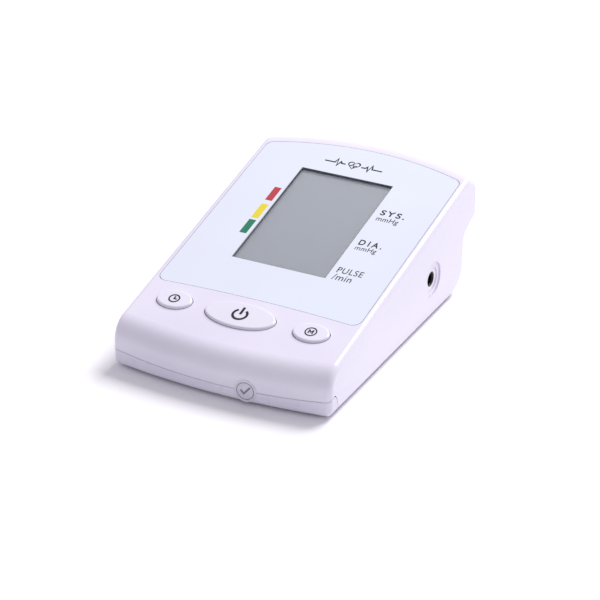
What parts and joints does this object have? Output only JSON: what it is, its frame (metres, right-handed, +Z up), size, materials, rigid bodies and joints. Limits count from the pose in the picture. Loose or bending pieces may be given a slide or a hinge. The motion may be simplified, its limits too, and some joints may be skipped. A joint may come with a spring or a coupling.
{
  "type": "upper arm blood pressure monitor",
  "caption": "Wedge-shaped table-top blood pressure monitor with sloping display panel, oval keys, air port, power inlet and battery cover.",
  "frame": {"origin": "middle of the footprint, on the table under the rubber feet", "axes": "+X across the unit towards the power inlet, +Y from the keys towards the raised rear, +Z up"},
  "size_m": [0.095, 0.1477, 0.0493],
  "materials": {
    "case_white": "satin",
    "panel_print": "gloss",
    "clear_lens": "clear",
    "dark_plastic": "matte",
    "lcd_grey": "satin",
    "natural_plastic": "matte",
    "silicone": "matte",
    "key_white": "satin",
    "black_plastic": "matte",
    "switch_steel": "satin",
    "board_green": "satin",
    "ceramic_tan": "matte",
    "bright_steel": "bright",
    "socket_white": "matte",
    "magnet_dark": "matte",
    "black_rubber": "matte",
    "brass_pin": "bright",
    "cell_jacket": "gloss",
    "grey_rubber": "matte",
    "label_white": "satin",
    "sticker_silver": "satin",
    "wire_red": "satin"
  },
  "bodies": {
    "housing": {"aa_batteries": "cell_jacket", "air_manifold": "natural_plastic", "air_socket": "socket_white", "battery_contacts": "bright_steel", "battery_leads": "wire_red", "battery_springs": "bright_steel", "board_capacitors": "bright_steel", "board_passives": "ceramic_tan", "board_screws": "bright_steel", "buzzer": "black_plastic", "case_screws": "bright_steel", "clock_crystal": "bright_steel", "display_bezel": "dark_plastic", "display_lens": "clear_lens", "exhaust_valve": "switch_steel", "faceplate": "panel_print", "holder_screws": "bright_steel", "inspection_sticker": "sticker_silver", "jack_leads": "wire_red", "key_switches": "switch_steel", "lcd_glass": "lcd_grey", "lcd_holder": "natural_plastic", "lower_case": "case_white", "main_board": "board_green", "memory_chip": "black_plastic", "microcontroller": "black_plastic", "motor_can": "bright_steel", "motor_end_cap": "natural_plastic", "motor_leads": "wire_red", "motor_magnets": "magnet_dark", "power_jack": "black_plastic", "power_jack_pin": "brass_pin", "pressure_sensor": "natural_plastic", "pump_cover": "natural_plastic", "pump_cradles": "black_rubber", "pump_diaphragm": "black_rubber", "pump_head": "natural_plastic", "pump_tube": "silicone", "rating_label": "label_white", "rubber_feet": "grey_rubber", "sensor_tube": "silicone", "socket_tube": "silicone", "upper_case": "case_white", "valve_leads": "wire_red", "valve_tube": "silicone", "voltage_regulator": "black_plastic", "zebra_strip": "silicone"},
    "start_stop_key": {"start_stop_key": "key_white", "start_stop_switch_plunger": "black_plastic"},
    "clock_key": {"clock_key": "key_white", "clock_switch_plunger": "black_plastic"},
    "memory_key": {"memory_key": "key_white", "memory_switch_plunger": "black_plastic"},
    "battery_cover": {"battery_cover": "case_white"},
    "pump_rotor": {"motor_rotor": "switch_steel"},
    "valve_plunger": {"valve_plunger": "bright_steel"}
  },
  "joints": [
    {"name": "start_stop_key_press", "type": "slide", "parent": "housing", "child": "start_stop_key", "axis": [0, 0.2198, -0.9755], "range_m": [0, 0.0005], "stiffness_N_per_m": 600, "springref_m": -0.0004},
    {"name": "clock_key_press", "type": "slide", "parent": "housing", "child": "clock_key", "axis": [0, 0.2198, -0.9755], "range_m": [0, 0.0005], "stiffness_N_per_m": 600, "springref_m": -0.0004},
    {"name": "memory_key_press", "type": "slide", "parent": "housing", "child": "memory_key", "axis": [0, 0.2198, -0.9755], "range_m": [0, 0.0005], "stiffness_N_per_m": 600, "springref_m": -0.0004},
    {"name": "battery_cover_slide", "type": "slide", "parent": "housing", "child": "battery_cover", "axis": [0, 1, 0], "range_m": [0, 0.084]},
    {"name": "pump_motor_spin", "type": "hinge", "parent": "housing", "child": "pump_rotor", "pos_m": [0, 0.0463, 0.0156], "axis": [1, 0, 0], "continuous": true},
    {"name": "valve_plunger_pull", "type": "slide", "parent": "housing", "child": "valve_plunger", "axis": [1, 0, 0], "range_m": [0, 0.0008], "stiffness_N_per_m": 300, "springref_m": -0.0006}
  ]
}
